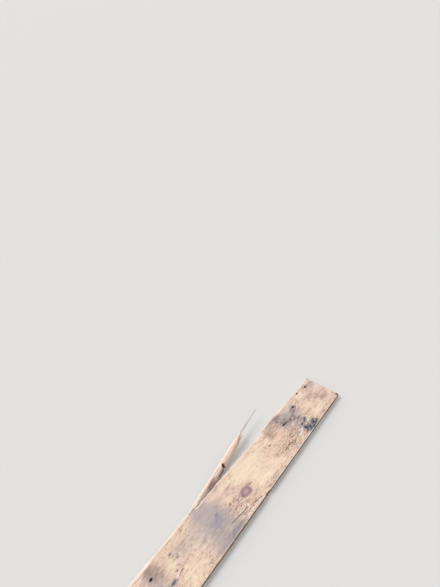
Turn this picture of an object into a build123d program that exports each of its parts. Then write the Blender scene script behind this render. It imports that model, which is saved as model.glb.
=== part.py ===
from build123d import *
import os

# A reclaimed tongue-and-groove pine floorboard, lying face up.
# +X runs along the board to its split end, +Y to the tongue edge and +Z up out of the worn face.
# The origin is on the sawn underside, at the middle of the length and of the face's width.

# Board, in mm
LENGTH = 1800.0         # between the two sawn ends
FACE = 165.0            # face width, from joint to joint
THICK = 22.0
EASE = 0.6              # worn arris along the face
LIP_BACK = 0.5          # the lower lip stands back, so that the joint closes at the face

# Tongue and groove
TONGUE_OUT = 13.0
TONGUE_THICK = 7.0
TONGUE_MID = 10.0       # height of the tongue's middle above the underside
NOSE = 1.2              # bevel on the tongue's nose
JOINT_CLEAR = 0.3       # play above and below the tongue in the groove
NOSE_CLEAR = 0.8        # play in front of the nose

# The split: it starts at the far end and runs back along the tongue edge.
# Bite is what it takes off the face, lean is how much further in it is at the underside.
# Both are read at equal steps, from the split end to the split's root.
SPLIT = 720.0
BITE = (14.0, 14.0, 15.5, 12.5, 8.5, 9.0, 12.0, 7.0, 8.0, 6.5, 3.5, 2.0, 1.0)
LEAN = (-3.0, -3.0, -2.5, -2.0, -1.0, 0.0, 0.0, 2.0, 4.0, 7.0, 10.0, 10.0, 8.0)

# The torn strip: it stays joined at the split's root and springs out and up towards its tip.
STRIP_TIP = 266.0       # tip of the splinter, from the board's end
STRIP_TEAR = 400.0      # where the full strip ends and the splinter goes on
TEAR_SLANT = 42.0       # how far the torn end slants
SPLAY = 41.0            # outward at the tip
LIFT = 42.0             # upward at the tip
CRACK_OPEN = 0.8        # width of the split at its root
SPLINTER_THICK = 5.0

# Nail holes: distance from the split end and from the groove edge of the face
NAIL_R = 2.0
HEAD_R = 3.6            # the torn mouth that the punched head leaves
HEAD_DEPTH = 1.6
ODD_NAILS = ((42.0, 128.0), (93.0, 138.0), (160.0, 116.0), (173.0, 17.0))
FIRST_JOIST = 934.0     # the nearest whole pair to the split end
LAST_JOIST_IN = 60.0    # from the other end
JOIST_PAIRS = 3
PAIR_SPACING = 97.0     # between the two nails over one joist
SPLIT_NAIL = 525.0      # the nail that the split runs through

# Open cracks in the face: start and end, each from the split end and from the groove edge
CRACKS = (
    ((490.0, -1.0), (664.0, 37.0), 1.6, 4.5),
    ((283.0, 30.0), (358.0, 44.0), 0.9, 2.5),
    ((852.0, 73.0), (878.0, 69.5), 1.2, 3.0),
)

TONGUE_LOW = TONGUE_MID - TONGUE_THICK / 2
TONGUE_TOP = TONGUE_MID + TONGUE_THICK / 2
EDGE = FACE / 2
END = LENGTH / 2
STEP = SPLIT / (len(BITE) - 1)
OVER = 3.0              # how far cutting tools reach past the wood


def at(from_end, from_groove, z=0.0):
    """A point given by its distances from the split end and from the groove edge."""
    return Vector(END - from_end, from_groove - EDGE, z)


def between(row, from_end):
    """A value of a row of the split, smoothed between its steps."""
    place = min(max(from_end / STEP, 0.0), len(row) - 1.001)
    i = int(place)
    t = place - i
    t = t * t * (3 - 2 * t)
    return row[i] * (1 - t) + row[i + 1] * t


def break_at(from_end, z):
    """Y of the break at a height above the underside."""
    top = EDGE - between(BITE, from_end)
    return top - between(LEAN, from_end) * (1 - z / THICK)


def sprung(from_end):
    """How far the torn strip stands out and up."""
    t = min(max((SPLIT - from_end) / (SPLIT - STRIP_TIP), 0.0), 1.0)
    return SPLAY * (1 - (1 - t) ** 1.5), LIFT * t ** 1.5


def outline(points, x):
    """A flat face from (y, z) points on the plane at x."""
    return Face(Wire.make_polygon([(x, y, z) for y, z in points], close=True))


def tongue_side():
    """The tongue edge from the face down to the underside, as (y, z) points."""
    nose = EDGE + TONGUE_OUT
    return [
        (EDGE, THICK), (EDGE, TONGUE_TOP), (nose - NOSE, TONGUE_TOP), (nose, TONGUE_TOP - NOSE),
        (nose, TONGUE_LOW + NOSE), (nose - NOSE, TONGUE_LOW), (EDGE, TONGUE_LOW), (EDGE, 0.0),
    ]


def plank():
    """The whole board as it was milled."""
    low = TONGUE_LOW - JOINT_CLEAR
    high = TONGUE_TOP + JOINT_CLEAR
    bottom = -EDGE + TONGUE_OUT + NOSE_CLEAR
    section = tongue_side() + [
        (-EDGE + LIP_BACK, 0.0), (-EDGE + LIP_BACK, low), (bottom, low), (bottom, high),
        (-EDGE, high), (-EDGE, THICK - EASE), (-EDGE + EASE, THICK),
    ]
    return extrude(outline(section, -END), LENGTH, dir=(1, 0, 0))


def split_away():
    """Everything outside the break, from the split's root to past the board's end."""
    out = EDGE + TONGUE_OUT + OVER
    faces = []
    for i in range(len(BITE) - 1, -1, -1):
        x = END - i * STEP + (OVER if i == 0 else 0)
        low, high = break_at(i * STEP, -OVER), break_at(i * STEP, THICK + OVER)
        faces.append(outline([(low, -OVER), (high, THICK + OVER), (out, THICK + OVER), (out, -OVER)], x))
    return loft(faces)


def strip():
    """The torn strip: the wood outside the break, sprung out and up from its root."""
    stop = STRIP_TEAR - TEAR_SLANT
    stations = [i * STEP for i in range(len(BITE) - 1, 0, -1) if i * STEP > stop + STEP / 3] + [stop]
    faces = []
    for from_end in stations:
        out, up = sprung(from_end)
        low, high = break_at(from_end, 0) + CRACK_OPEN, break_at(from_end, THICK) + CRACK_OPEN
        points = [(low, 0.0), (high, THICK)] + tongue_side()
        faces.append(outline([(y + out, z + up) for y, z in points], END - from_end))
    whole = loft(faces)
    out, up = sprung(STRIP_TEAR)
    inner = EDGE - between(BITE, STRIP_TEAR) + out
    outer = EDGE + TONGUE_OUT + out
    past = stop - 4 * OVER
    tear = Polyline(
        at(STRIP_TEAR + TEAR_SLANT, EDGE + inner - TEAR_SLANT), at(STRIP_TEAR, EDGE + inner + 4),
        at(stop + OVER, EDGE + outer + 2 * OVER), at(past, EDGE + outer + 2 * OVER),
        at(past, EDGE + inner - TEAR_SLANT), close=True,
    )
    return whole - extrude(make_face(tear), LIFT + THICK + OVER, dir=(0, 0, 1))


def splinter():
    """The last sliver of the tongue, which tapers to a point beyond the torn end."""
    faces = []
    root = STRIP_TEAR + TEAR_SLANT
    for share in (0.0, 0.25, 0.5, 0.75, 1.0):
        from_end = root + (STRIP_TIP - root) * share
        out, up = sprung(from_end)
        wide = (TONGUE_OUT - 2 * NOSE) * (1 - 0.85 * share)
        half = SPLINTER_THICK / 2 * (1 - 0.7 * share)
        y = EDGE + TONGUE_OUT - NOSE + out
        z = TONGUE_MID + up
        faces.append(outline([(y - wide, z - half), (y - wide, z + half), (y, z + half), (y, z - half)],
                             END - from_end))
    return loft(faces)


def nail_hole(from_end, from_groove, out=0.0, up=0.0):
    """A through hole with the torn mouth left by a punched nail head."""
    foot = at(from_end, from_groove)
    shank = Pos(foot.X, foot.Y + out, up - OVER) * Cylinder(
        NAIL_R, THICK + 2 * OVER, align=(Align.CENTER, Align.CENTER, Align.MIN))
    mouth = Pos(foot.X, foot.Y + out, up + THICK - HEAD_DEPTH) * Cone(
        NAIL_R, HEAD_R, HEAD_DEPTH, align=(Align.CENTER, Align.CENTER, Align.MIN))
    return shank + mouth


def crack(start, end, wide, deep):
    """An open crack along the grain, widest where it starts."""
    a, b = at(*start, THICK - deep), at(*end, THICK - deep)
    along = (b - a).normalized()
    side = Vector(-along.Y, along.X, 0) * (wide / 2)
    belly = a + (b - a) * 0.4
    plan = Polyline(a - side, belly - side * 0.8, b, belly + side * 0.8, a + side, close=True)
    return extrude(make_face(plan), deep + OVER, dir=(0, 0, 1))


def floorboard():
    board = plank() - split_away() + strip() + splinter()
    for nail in ODD_NAILS:
        board -= nail_hole(*nail)
    joist_step = (LENGTH - LAST_JOIST_IN - FIRST_JOIST) / (JOIST_PAIRS - 1)
    for i in range(JOIST_PAIRS):
        for side in (-1, 1):
            board -= nail_hole(FIRST_JOIST + i * joist_step, EDGE + side * PAIR_SPACING / 2)
    on_break = EDGE + break_at(SPLIT_NAIL, THICK / 2)
    board -= nail_hole(SPLIT_NAIL, on_break)
    board -= nail_hole(SPLIT_NAIL, on_break + CRACK_OPEN, *sprung(SPLIT_NAIL))
    for start, end, wide, deep in CRACKS:
        board -= crack(start, end, wide, deep)
    return board


os.makedirs("parts", exist_ok=True)
piece = floorboard()
export_step(piece, "parts/floorboard.step")
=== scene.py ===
# Reclaimed pine floorboard, lying worn face up on a pale floor.
# Places on the board are in millimetres: "along" from the split end, "across" from the groove
# edge of the face and "up" from the sawn underside.

import math

import bmesh
import bpy
import numpy as np
from mathutils import Matrix, Vector
from mathutils.geometry import delaunay_2d_cdt


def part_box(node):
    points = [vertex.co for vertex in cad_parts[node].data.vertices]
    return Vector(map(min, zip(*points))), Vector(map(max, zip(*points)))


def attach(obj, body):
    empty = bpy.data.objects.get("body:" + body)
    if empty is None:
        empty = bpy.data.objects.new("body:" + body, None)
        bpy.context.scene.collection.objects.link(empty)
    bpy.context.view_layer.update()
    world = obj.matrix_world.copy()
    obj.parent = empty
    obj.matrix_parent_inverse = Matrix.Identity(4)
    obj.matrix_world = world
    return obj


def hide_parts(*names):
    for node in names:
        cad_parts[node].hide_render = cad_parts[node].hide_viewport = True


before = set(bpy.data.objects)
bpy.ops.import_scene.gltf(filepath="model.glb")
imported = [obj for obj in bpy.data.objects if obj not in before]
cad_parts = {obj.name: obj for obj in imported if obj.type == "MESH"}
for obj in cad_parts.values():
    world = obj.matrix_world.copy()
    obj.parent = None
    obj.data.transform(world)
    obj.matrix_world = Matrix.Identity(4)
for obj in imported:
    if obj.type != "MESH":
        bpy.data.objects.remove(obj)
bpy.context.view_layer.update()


# The milled board
# One length of pitch pine, planed on the face and left sawn below, with a tongue run along one
# edge and a groove along the other. Years of feet and a crowbar have worn it: rounded and
# chipped arrises, open checks, punched nail holes, and a broken-off upper lip at one place.

low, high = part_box("floorboard")
LENGTH = round((high.x - low.x) * 1000, 3)
FACE = round(-2000 * low.y, 3)      # the frame's origin is midway across the face
THICK = 22.0
TONGUE_OUT, TONGUE_LOW, TONGUE_TOP = 13.0, 6.5, 13.5
TONGUE_MID = (TONGUE_LOW + TONGUE_TOP) / 2
GROOVE_DEEP, GROOVE_LOW, GROOVE_TOP = 13.8, 6.2, 13.8

JOISTS = (934, 1337, 1740)          # those with a whole pair of nails
SUPPORTS = (128, 531) + JOISTS      # all that the board lay on
NAILS = [(42, 128), (93, 138), (160, 116), (173, 17)]
NAILS += [(along, across) for along in JOISTS for across in (34, 131)]

# Each check follows the grain through its points; then its width and depth.
CHECKS = [
    ([(527, 8.0), (546, 13.5), (560, 17.5), (581, 21.5)], 2.8, 5.0),
    ([(582, 25.0), (604, 28.5), (634, 32.0), (664, 37.0)], 2.5, 4.0),
    ([(284, 34.5), (304, 37.5), (346, 41.5)], 1.6, 3.0),
    ([(243, 40.0), (268, 44.0), (281, 46.5)], 1.0, 2.2),
    ([(851, 75.0), (864, 72.8), (878, 69.5)], 2.2, 3.0),
    ([(865, 86.0), (875, 82.5)], 1.3, 1.8),
]
LIP_BREAK = (494.0, 527.0, 3.4)     # from, to and depth of the missing bit of upper lip
KNOT_AT, KNOT_R = (551.0, 63.0), 16.0
KNOT_LONG = 1.15                    # its length over its width
RING_WIDTH = 3.3                    # one year's growth


def eased(share):
    """A share between 0 and 1 that starts and ends gently."""
    return share * share * (3 - 2 * share)


def drift(seed, *axes):
    """Smooth wandering between -1 and 1. Each axis is positions and the size of one wander."""
    axes = np.broadcast_arrays(*[np.asarray(places, float) / size for places, size in axes])
    cells = [np.floor(a).astype(np.int64) for a in axes]
    within = [eased(a - c) for a, c in zip(axes, cells)]
    total = np.zeros(axes[0].shape)
    for corner in range(2 ** len(axes)):
        weight = np.ones(axes[0].shape)
        key = np.full(axes[0].shape, seed * 2654435761 % 4294967291, np.int64)
        for i, (cell, t) in enumerate(zip(cells, within)):
            far = corner >> i & 1
            weight = weight * (t if far else 1 - t)
            key = (key ^ (cell + far + 1013) * (73856093, 19349663, 83492791)[i]) % 4294967291
            key = key * 48271 % 4294967291
        total += weight * ((key >> 3) % 65536 / 32767.5 - 1)
    return total


def hump(places, middle, half):
    """1 at the middle, falling smoothly to nothing."""
    return np.exp(-((np.asarray(places, float) - middle) / half) ** 2)


def knot_distance(along, across):
    """Distance from the knot's heart in knot radii. The knot is a little longer with the grain."""
    off_along, off_across = (along - KNOT_AT[0]) / KNOT_LONG, across - KNOT_AT[1]
    turn = np.arctan2(off_across, off_along)
    ragged = 1 + 0.10 * np.sin(2 * turn + 0.8) + 0.05 * np.sin(3 * turn + 2) + 0.025 * np.sin(7 * turn + 1)
    return np.hypot(off_along, off_across) / KNOT_R / ragged


def growth_rings(along, across, up):
    """Growth rings counted from the pith, which lies below the board, towards its tongue edge."""
    round_knot = hump(along, KNOT_AT[0], 75) * hump(across, KNOT_AT[1], 48)
    across = across + (KNOT_AT[1] - across) * 0.8 * round_knot
    pith_across = 186 + 9 * np.sin(along / 410) + 5 * np.sin(along / 173 + 2)
    pith_up = -52 - 0.012 * along + 3.5 * np.sin(along / 265 + 1)
    radius = np.hypot(across - pith_across, up - pith_up)
    radius += 2.4 * drift(3, (along, 230), (across, 24), (up, 24))
    radius += 0.9 * drift(4, (along, 75), (across, 9), (up, 9))
    radius += 0.35 * drift(5, (along, 28), (across, 5), (up, 5))
    return radius / RING_WIDTH


def late_wood(along, across, up):
    """From 0 in the soft early wood of a growth ring to 1 in its hard late wood."""
    return 0.5 + 0.5 * np.cos(2 * np.pi * (growth_rings(along, across, up) - 0.86))


# Small dents all over, deeper scuffs where the split end was walked most, and some by the knot
rng = np.random.RandomState(5)
DENTS = [(rng.uniform(5, LENGTH - 5), rng.uniform(4, FACE - 4), rng.uniform(2, 9), rng.uniform(1.2, 3),
          rng.uniform(0.15, 0.6)) for _ in range(150)]
DENTS += [(rng.normal(205, 30), rng.uniform(3, 110), rng.uniform(3, 10), rng.uniform(1.2, 2.6),
           rng.uniform(0.4, 1.0)) for _ in range(60)]
DENTS += [(rng.normal(600, 30), rng.normal(60, 18), rng.uniform(2, 6), rng.uniform(1.0, 2.2),
           rng.uniform(0.3, 0.7)) for _ in range(30)]


def face_height(along, across):
    """How far the worn face lies above or below its planed height."""
    height = 0.17 * (late_wood(along, across, THICK) ** 3 - 1)
    height += 0.22 * drift(11, (along, 160), (across, 45)) + 0.12 * drift(12, (along, 38), (across, 13))
    height -= 0.7 * hump(across, 0, 5) + 0.6 * hump(across, FACE, 5)
    knot = knot_distance(along, across)
    height += (0.45 + 0.12 * np.cos(9 * knot)) * np.exp(-(knot / 0.85) ** 6)
    height -= 0.45 * hump(knot, 1.08, 0.1)
    for nail_along, nail_across in NAILS:
        height -= 0.9 * np.exp(-((along - nail_along) ** 2 + (across - nail_across) ** 2) / 6.5 ** 2)
    for dent_along, dent_across, long, wide, deep in DENTS:
        height -= deep * hump(along, dent_along, long) * hump(across, dent_across, wide)
    # The wood between the longest checks and the groove edge has lifted.
    lifted = (along > 527) & (along < 664) & (across < 8 + (along - 527) * 0.21)
    height += np.where(lifted, 1.2 * hump(along, 565, 55), 0.0)
    return np.minimum(height, 1.4)


# The split takes a bite off the tongue edge and leans in towards the underside.
SPLIT = 720.0
BITE = (14.0, 14.0, 15.5, 12.5, 8.5, 9.0, 12.0, 7.0, 8.0, 6.5, 3.5, 2.0, 1.0)
LEAN = (-3.0, -3.0, -2.5, -2.0, -1.0, 0.0, 0.0, 2.0, 4.0, 7.0, 10.0, 10.0, 8.0)
SPLIT_NAIL = 525.0


def step_through(row, along):
    """A value of the split, smoothed between its equal steps."""
    at = np.clip(np.asarray(along, float) / (SPLIT / (len(row) - 1)), 0, len(row) - 1.001)
    i = at.astype(int)
    t = eased(at - i)
    row = np.asarray(row)
    return row[i] * (1 - t) + row[i + 1] * t


def torn_fibres(along, up):
    """Thin layers of fibres that each let go at their own places, in long slopes and short steps."""
    along, up = np.broadcast_arrays(np.asarray(along, float), np.asarray(up, float))
    layer = np.floor(up / 2.1 + 0.9 * drift(45, (along, 80)))
    rough = np.zeros(along.shape)
    for seed, long, deep in ((1, 74.0, 1.5), (2, 31.0, 0.9), (3, 12.0, 0.45)):
        shift = 5 * drift(40 + seed, (layer, 1.0))
        rough += deep * (((along / long + shift) % 1) - 0.5)
    rough += 0.5 * drift(46, (layer, 1.0), (along, 60)) + 0.3 * drift(47, (along, 5), (up, 1.6))
    return rough * np.clip((SPLIT - along) / 30, 0, 1)


def split_across(along, up):
    """Where the split runs."""
    across = FACE - step_through(BITE, along) - step_through(LEAN, along) * (1 - np.asarray(up) / THICK)
    return across + torn_fibres(along, up)


# Splinters have since gone from the board's side: places along, and how much is lost
LOST_AT = (0, 10, 22, 88, 100, 325, 332, 366, 400, 440, 480, 520)
LOST = (0.5, 3.0, 4.5, 4.0, 0.0, 0.0, 6.0, 7.0, 5.5, 3.5, 1.0, 0.0)


def broken_across(along, up):
    """Where the wood of the board ends along the split."""
    return split_across(along, up) - np.interp(along, LOST_AT, LOST) * (0.75 + 0.25 * np.asarray(up) / THICK)


# What time left on the face: place along and across, half length, half width and strength
MARKS = {
    # Rust and blue-black iron stain round the nails, and where nails and tacks lay on it
    "iron": [
        (44, 129, 6, 5, 1.2), (93, 139, 5, 4, 1.1), (39, 108, 6, 3, 0.5), (160, 118, 9, 8, 1.05),
        (151, 111, 10, 5, 0.4), (178, 51, 9, 6, 1.05), (190, 45, 7, 5, 0.7), (208, 46, 9, 5, 0.9),
        (196, 61, 9, 3, 0.75), (212, 27, 10, 7, 1.1), (198, 19, 7, 4, 0.8), (164, 26, 8, 4, 1.0),
        (178, 15, 10, 5, 0.85), (156, 13, 7, 4, 0.85), (187, 4, 8, 5, 1.15), (209, 6, 10, 4, 0.85),
        (223, 14, 7, 4, 0.7), (188, 73, 8, 4, 0.7), (202, 84, 9, 4, 0.8), (216, 92, 9, 4, 0.75),
        (235, 98, 9, 4, 0.7), (250, 101, 11, 6, 1.15), (232, 114, 7, 4, 0.55), (258, 128, 7, 5, 0.9),
        (226, 60, 7, 4, 0.6), (182, 92, 8, 4, 0.6), (3, 5, 7, 7, 1.3), (358, 94, 6, 5, 0.9),
        (393, 5, 9, 4, 0.6), (570, 58, 4, 6, 0.9), (578, 71, 4, 5, 0.8), (592, 64, 4, 7, 0.75),
        (605, 73, 6, 5, 0.95), (619, 79, 7, 4, 0.8), (612, 58, 5, 4, 0.6), (628, 90, 5, 4, 0.85),
        (598, 47, 7, 3, 0.7), (527, 37, 4, 3, 0.6), (581, 121, 5, 4, 0.6), (622, 12, 5, 4, 0.6),
        (674, 95, 9, 3, 0.75), (690, 5, 7, 4, 0.6), (660, 137, 4, 3, 0.6), (837, 161, 6, 3, 0.7),
        (841, 110, 7, 5, 0.75), (851, 134, 8, 5, 0.65), (870, 86, 7, 3, 0.75), (900, 70, 16, 6, 0.95),
        (169, 8, 6, 4, 0.9), (200, 12, 5, 4, 0.9), (192, 32, 5, 4, 0.8), (214, 16, 5, 4, 0.9),
        (184, 64, 5, 3, 0.7), (206, 66, 5, 3, 0.8), (198, 76, 5, 3, 0.7), (214, 80, 5, 3, 0.7),
        (934, 131, 8, 6, 1.3), (934, 34, 7, 5, 1.0), (1337, 34, 8, 6, 1.0), (1337, 131, 8, 6, 1.0),
        (1740, 34, 8, 7, 1.0), (1740, 131, 8, 6, 1.0), (1322, 140, 12, 4, 0.6), (1752, 28, 14, 4, 0.6),
    ],
    # Smoky dirt trodden into the roughest places
    "soot": [
        (196, 42, 32, 30, 0.65), (206, 84, 36, 18, 0.6), (240, 100, 26, 14, 0.65), (172, 14, 26, 16, 0.8),
        (206, 16, 26, 18, 0.8), (166, 114, 26, 18, 0.65), (228, 118, 30, 14, 0.4), (170, 6, 22, 10, 0.7),
        (598, 66, 30, 22, 0.35), (576, 32, 30, 12, 0.1), (640, 14, 60, 9, 0.4), (925, 134, 34, 28, 0.3),
        (44, 130, 24, 16, 0.5), (900, 70, 20, 10, 0.9), (1338, 34, 30, 16, 0.5), (1338, 131, 30, 16, 0.5),
        (1741, 34, 30, 16, 0.5), (1741, 131, 30, 16, 0.45),
    ],
    # Blue-grey bloom of damp
    "damp": [
        (124, 121, 14, 7, 0.6), (164, 118, 19, 14, 0.8), (212, 26, 22, 17, 0.9), (174, 16, 18, 10, 0.9),
        (204, 7, 26, 7, 0.9), (258, 112, 12, 7, 0.8), (4, 74, 9, 7, 0.6), (3, 141, 12, 9, 0.7),
        (50, 149, 30, 4, 0.5), (690, 70, 28, 20, 0.75), (708, 92, 22, 16, 0.5), (668, 90, 22, 16, 0.55),
        (676, 12, 26, 9, 0.9), (730, 11, 18, 7, 0.7), (757, 11, 14, 6, 0.65), (666, 40, 14, 12, 0.45),
        (900, 70, 20, 9, 1.1), (194, 28, 34, 30, 0.2), (1345, 30, 22, 8, 0.7), (1330, 126, 18, 10, 0.8),
        (1748, 40, 20, 10, 0.8), (1732, 126, 20, 9, 0.7), (1100, 20, 30, 8, 0.5), (1560, 140, 40, 9, 0.5),
    ],
    # Dry grey weathering
    "weather": [
        (196, 84, 44, 44, 0.8), (200, 30, 34, 36, 0.7), (236, 122, 40, 24, 1.0), (240, 84, 26, 22, 0.4),
        (256, 60, 26, 26, 0.25), (698, 140, 38, 26, 1.1), (668, 108, 40, 34, 0.75), (650, 72, 34, 28, 0.5),
        (694, 66, 36, 46, 1.0), (674, 26, 44, 24, 0.9), (712, 14, 54, 16, 0.8), (640, 9, 44, 7, 0.8),
        (740, 70, 44, 70, 0.55), (790, 110, 46, 34, 0.45), (836, 128, 26, 20, 0.45), (924, 124, 34, 28, 0.8),
        (925, 152, 30, 12, 0.8), (925, 70, 34, 34, 0.7), (1010, 110, 60, 30, 0.6), (1130, 50, 90, 34, 0.7),
        (312, 112, 36, 26, 0.35), (12, 64, 20, 20, 0.45), (45, 118, 24, 20, 0.55), (88, 92, 22, 14, 0.45),
        (694, 152, 20, 14, 1.0), (302, 30, 40, 24, 0.2), (602, 36, 34, 18, 0.2), (14, 118, 18, 12, 0.95),
        (1250, 120, 60, 30, 0.5), (1420, 90, 90, 40, 0.6), (1620, 60, 80, 40, 0.7), (1760, 110, 40, 40, 0.7),
    ],
    # Purple-brown bruising round the split
    "mauve": [
        (258, 146, 30, 14, 0.8), (300, 142, 26, 14, 0.65), (305, 127, 9, 6, 0.6), (344, 150, 16, 6, 0.5),
        (240, 138, 22, 13, 0.6), (182, 108, 26, 18, 0.75), (600, 172, 22, 14, 0.9), (640, 172, 22, 10, 0.6),
        (652, 158, 22, 12, 0.5), (640, 118, 20, 16, 0.4), (606, 154, 24, 8, 0.6), (516, 66, 13, 10, 0.5),
        (716, 56, 14, 9, 0.45), (834, 118, 12, 9, 0.45), (164, 90, 16, 9, 0.35), (16, 126, 16, 10, 0.6),
    ],
    # Brown scuffs and dirty hollows
    "brown": [
        (40, 46, 30, 16, 1.1), (74, 92, 28, 14, 0.9), (68, 66, 18, 7, 0.8), (45, 73, 12, 9, 0.6),
        (25, 68, 10, 4, 0.5), (129, 54, 14, 5, 0.7), (150, 57, 20, 4, 1.1), (14, 128, 14, 7, 0.95),
        (7, 14, 6, 10, 0.7), (34, 6, 10, 3, 0.6), (44, 128, 13, 10, 0.8), (94, 138, 9, 8, 0.6),
        (275, 127, 14, 5, 1.0), (322, 134, 14, 8, 0.9), (350, 129, 14, 3, 1.0), (325, 116, 16, 9, 0.5),
        (320, 103, 15, 4, 0.7), (312, 74, 14, 3, 0.6), (335, 70, 10, 3, 0.5), (370, 103, 12, 3, 0.6),
        (452, 82, 7, 4, 0.5), (385, 65, 6, 3, 0.5), (528, 72, 15, 11, 1.2), (580, 120, 8, 6, 0.7),
        (594, 114, 12, 11, 0.3), (540, 145, 12, 6, 0.5), (548, 132, 5, 6, 0.5), (590, 62, 26, 22, 0.15),
        (245, 112, 30, 18, 0.6), (308, 114, 34, 20, 0.7), (900, 110, 30, 34, 0.5), (925, 138, 34, 30, 0.85),
        (768, 73, 30, 3, 1.0), (713, 69, 10, 3, 0.9), (926, 155, 14, 7, 0.9), (838, 38, 10, 12, 0.6),
        (846, 18, 8, 8, 0.35), (230, 98, 9, 3, 0.6), (1050, 74, 60, 3, 0.6), (1210, 96, 30, 8, 0.6),
        (1500, 40, 40, 5, 0.7), (1660, 120, 24, 9, 0.6),
    ],
    # Rosy wood
    "rosy": [
        (20, 95, 28, 14, 0.9), (5, 112, 8, 5, 0.9), (30, 22, 16, 14, 0.7), (52, 12, 12, 8, 1.1),
        (64, 131, 11, 7, 1.2), (122, 135, 18, 7, 1.1), (141, 143, 12, 6, 1.1), (130, 92, 20, 8, 0.7),
        (5, 40, 8, 7, 0.8), (170, 137, 9, 5, 0.9), (298, 90, 28, 15, 1.0), (380, 85, 24, 14, 1.0),
        (408, 70, 20, 10, 0.9), (452, 132, 26, 14, 0.6), (375, 148, 8, 6, 0.8), (440, 141, 7, 4, 0.8),
        (545, 30, 32, 14, 0.9), (600, 32, 30, 16, 0.7), (512, 60, 14, 7, 0.8), (650, 118, 14, 12, 0.6),
        (668, 173, 9, 6, 1.6), (820, 52, 17, 10, 0.9), (885, 130, 16, 12, 0.8), (905, 100, 10, 10, 0.8),
        (895, 92, 6, 6, 0.9), (850, 140, 14, 12, 0.5), (290, 50, 60, 30, 0.5), (440, 180, 60, 14, 0.9),
        (1180, 130, 60, 20, 0.6), (1540, 90, 60, 24, 0.6),
    ],
    # Creamy wood, worn clean
    "cream": [
        (94, 124, 20, 14, 1.2), (105, 131, 7, 4, 0.8), (115, 76, 20, 12, 0.6), (110, 30, 44, 18, 0.8),
        (160, 73, 16, 8, 0.9), (345, 115, 22, 10, 0.5), (440, 110, 40, 28, 1.0), (375, 25, 14, 16, 1.2),
        (398, 40, 22, 18, 0.6), (432, 45, 30, 20, 0.7), (472, 58, 20, 28, 1.0), (442, 30, 14, 8, 0.9),
        (393, 136, 6, 6, 0.9), (500, 112, 50, 38, 1.1), (532, 132, 40, 14, 0.8), (590, 141, 24, 14, 0.9),
        (488, 40, 28, 20, 0.9), (606, 94, 18, 12, 1.0), (870, 106, 22, 13, 1.0), (845, 35, 22, 22, 0.9),
        (872, 50, 18, 11, 0.9), (820, 143, 24, 14, 0.6), (800, 95, 18, 10, 0.4), (1080, 110, 50, 24, 0.7),
        (1290, 60, 50, 24, 0.7), (1480, 130, 60, 20, 0.8), (1680, 80, 50, 24, 0.7),
    ],
    # Rubbed nearly white on raised spots
    "bleach": [
        (177, 38, 11, 5, 1.3), (208, 56, 8, 3, 1.0), (193, 58, 6, 3, 0.9), (226, 76, 14, 9, 0.8),
        (200, 34, 6, 3, 0.9), (222, 48, 8, 3, 0.9), (206, 72, 7, 3, 0.8), (184, 27, 6, 3, 0.8),
        (238, 36, 14, 5, 0.9), (246, 26, 11, 4, 0.8), (12, 92, 18, 13, 0.75), (602, 33, 24, 13, 0.6),
        (234, 34, 18, 10, 0.45), (676, 34, 24, 16, 0.45), (752, 90, 24, 16, 0.4), (306, 8, 30, 7, 0.5),
        (238, 52, 6, 2.5, 0.8), (160, 42, 5, 4, 0.7), (104, 20, 12, 4, 0.6), (312, 29, 30, 3, 0.7),
        (302, 22, 24, 3, 0.6), (315, 68, 6, 5, 0.6), (395, 11, 9, 3, 0.7), (360, 9, 12, 4, 0.6),
        (545, 7, 26, 4, 0.8), (600, 9, 36, 5, 0.8), (500, 10, 10, 5, 0.6), (583, 28, 6, 4, 0.8),
        (620, 35, 5, 3, 0.7), (862, 45, 14, 3, 0.6), (885, 113, 9, 3, 0.6), (876, 74, 4, 2, 1.0),
        (345, 119, 10, 3, 0.7), (691, 164, 8, 6, 1.9), (790, 14, 24, 5, 0.5), (210, 8, 6, 5, 0.8),
        (178, 148, 60, 2.5, 1.0), (430, 156, 70, 3, 1.0), (194, 33, 7, 4, 0.8),
    ],
    # Grain worn open, its lines full of dirt
    "coarse": [
        (296, 34, 56, 30, 1.1), (348, 46, 26, 14, 0.7), (212, 56, 34, 44, 0.75), (262, 62, 26, 16, 0.7),
        (600, 62, 30, 26, 1.0), (568, 30, 44, 14, 0.65), (610, 14, 60, 10, 0.8), (700, 20, 34, 16, 0.5),
        (790, 10, 34, 9, 0.8), (880, 50, 20, 18, 0.4), (540, 140, 26, 10, 0.6), (90, 10, 70, 10, 0.55),
        (588, 108, 20, 14, 0.4), (255, 136, 34, 14, 0.55), (452, 10, 50, 10, 0.65), (1010, 30, 60, 20, 0.6),
        (18, 100, 20, 40, 0.15), (820, 120, 40, 26, 0.35), (160, 90, 26, 24, 0.4), (660, 60, 50, 40, 0.3),
        (172, 18, 24, 20, 0.8), (240, 100, 30, 18, 0.6),
        (1230, 40, 70, 24, 0.7), (1400, 140, 70, 16, 0.5), (1650, 30, 80, 24, 0.7),
    ],
}


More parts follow.
